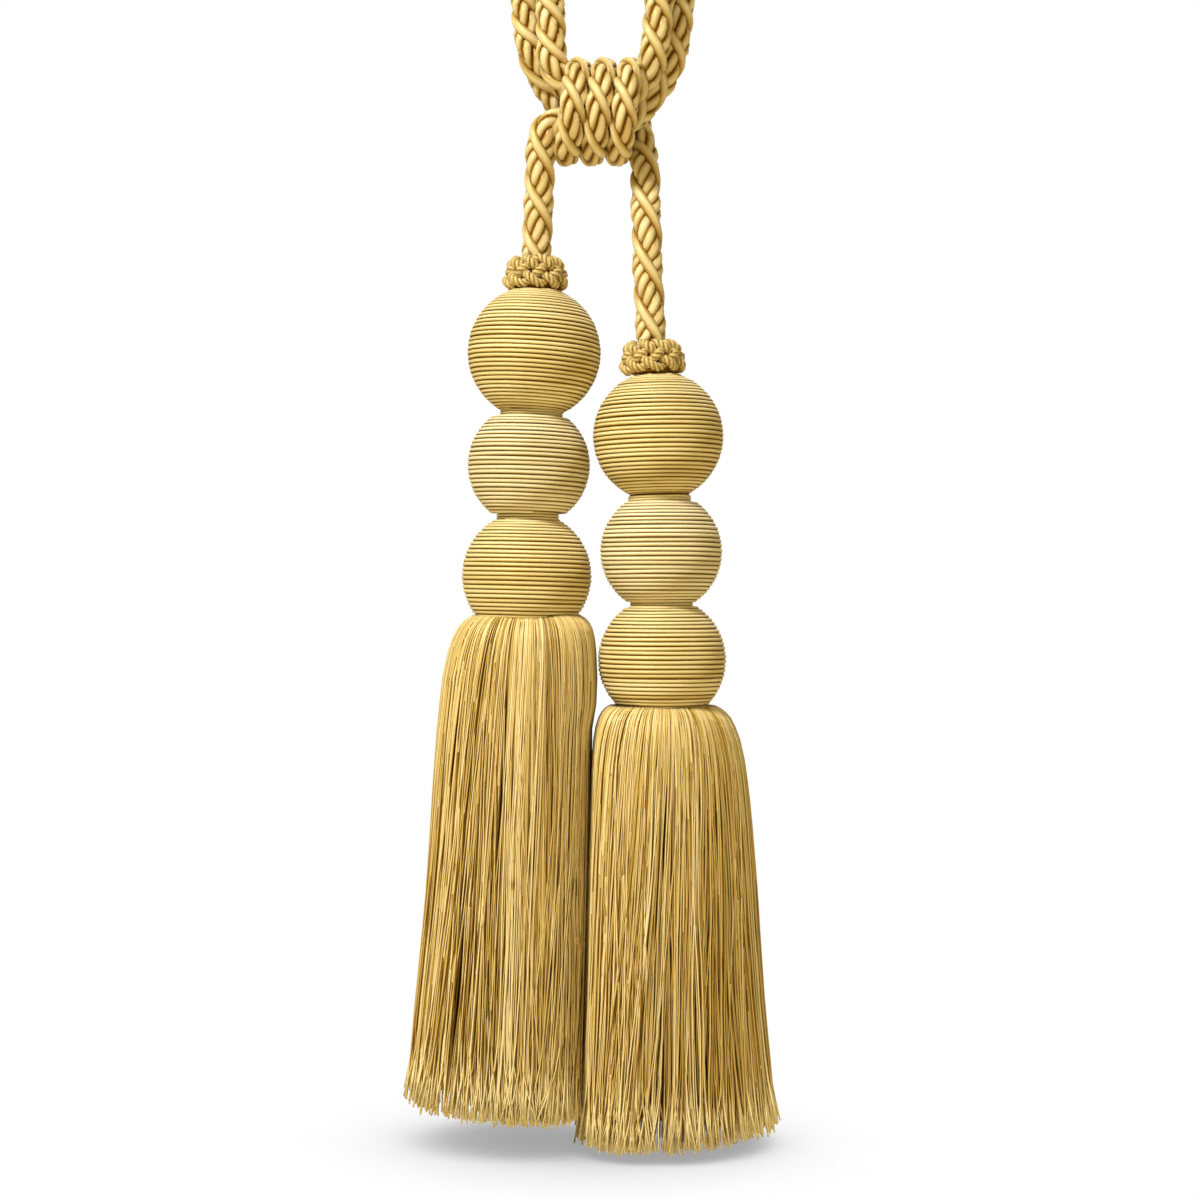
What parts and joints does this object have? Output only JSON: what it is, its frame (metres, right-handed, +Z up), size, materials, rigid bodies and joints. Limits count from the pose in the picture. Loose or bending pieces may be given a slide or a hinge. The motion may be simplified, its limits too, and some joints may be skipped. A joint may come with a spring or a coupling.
{
  "type": "curtain tieback",
  "caption": "Rope curtain tieback: a thick twisted rope tied in a barrel knot, with two hanging bights and a tassel of wound balls and fringe on each end.",
  "frame": {"origin": "the point where a hook carries the two bights, under the rope at the top of the bights, midway between them", "axes": "+Z up, as the tieback hangs, +X to the right and -Y towards the front"},
  "size_m": [0.1226, 0.0699, 0.6266],
  "materials": {
    "rope_satin": "satin viscose rope, smooth and twisted strands laid together",
    "collar_cord": "fine twisted satin cord",
    "wound_gold": "fine gold cord wound turn beside turn",
    "wound_pale": "fine pale gold cord wound turn beside turn",
    "fringe_yarn": "loose lustrous viscose yarns"
  },
  "bodies": {
    "root": {"knot": "rope_satin", "tail_left": "rope_satin", "tail_right": "rope_satin", "loop_left": "rope_satin", "loop_right": "rope_satin", "collar_left": "collar_cord", "ball_top_left": "wound_gold", "neck_upper_left": "collar_cord", "ball_middle_left": "wound_pale", "neck_lower_left": "collar_cord", "ball_bottom_left": "wound_gold", "skirt_left": "fringe_yarn", "collar_right": "collar_cord", "ball_top_right": "wound_gold", "neck_upper_right": "collar_cord", "ball_middle_right": "wound_pale", "neck_lower_right": "collar_cord", "ball_bottom_right": "wound_gold", "skirt_right": "fringe_yarn"}
  },
  "joints": []
}
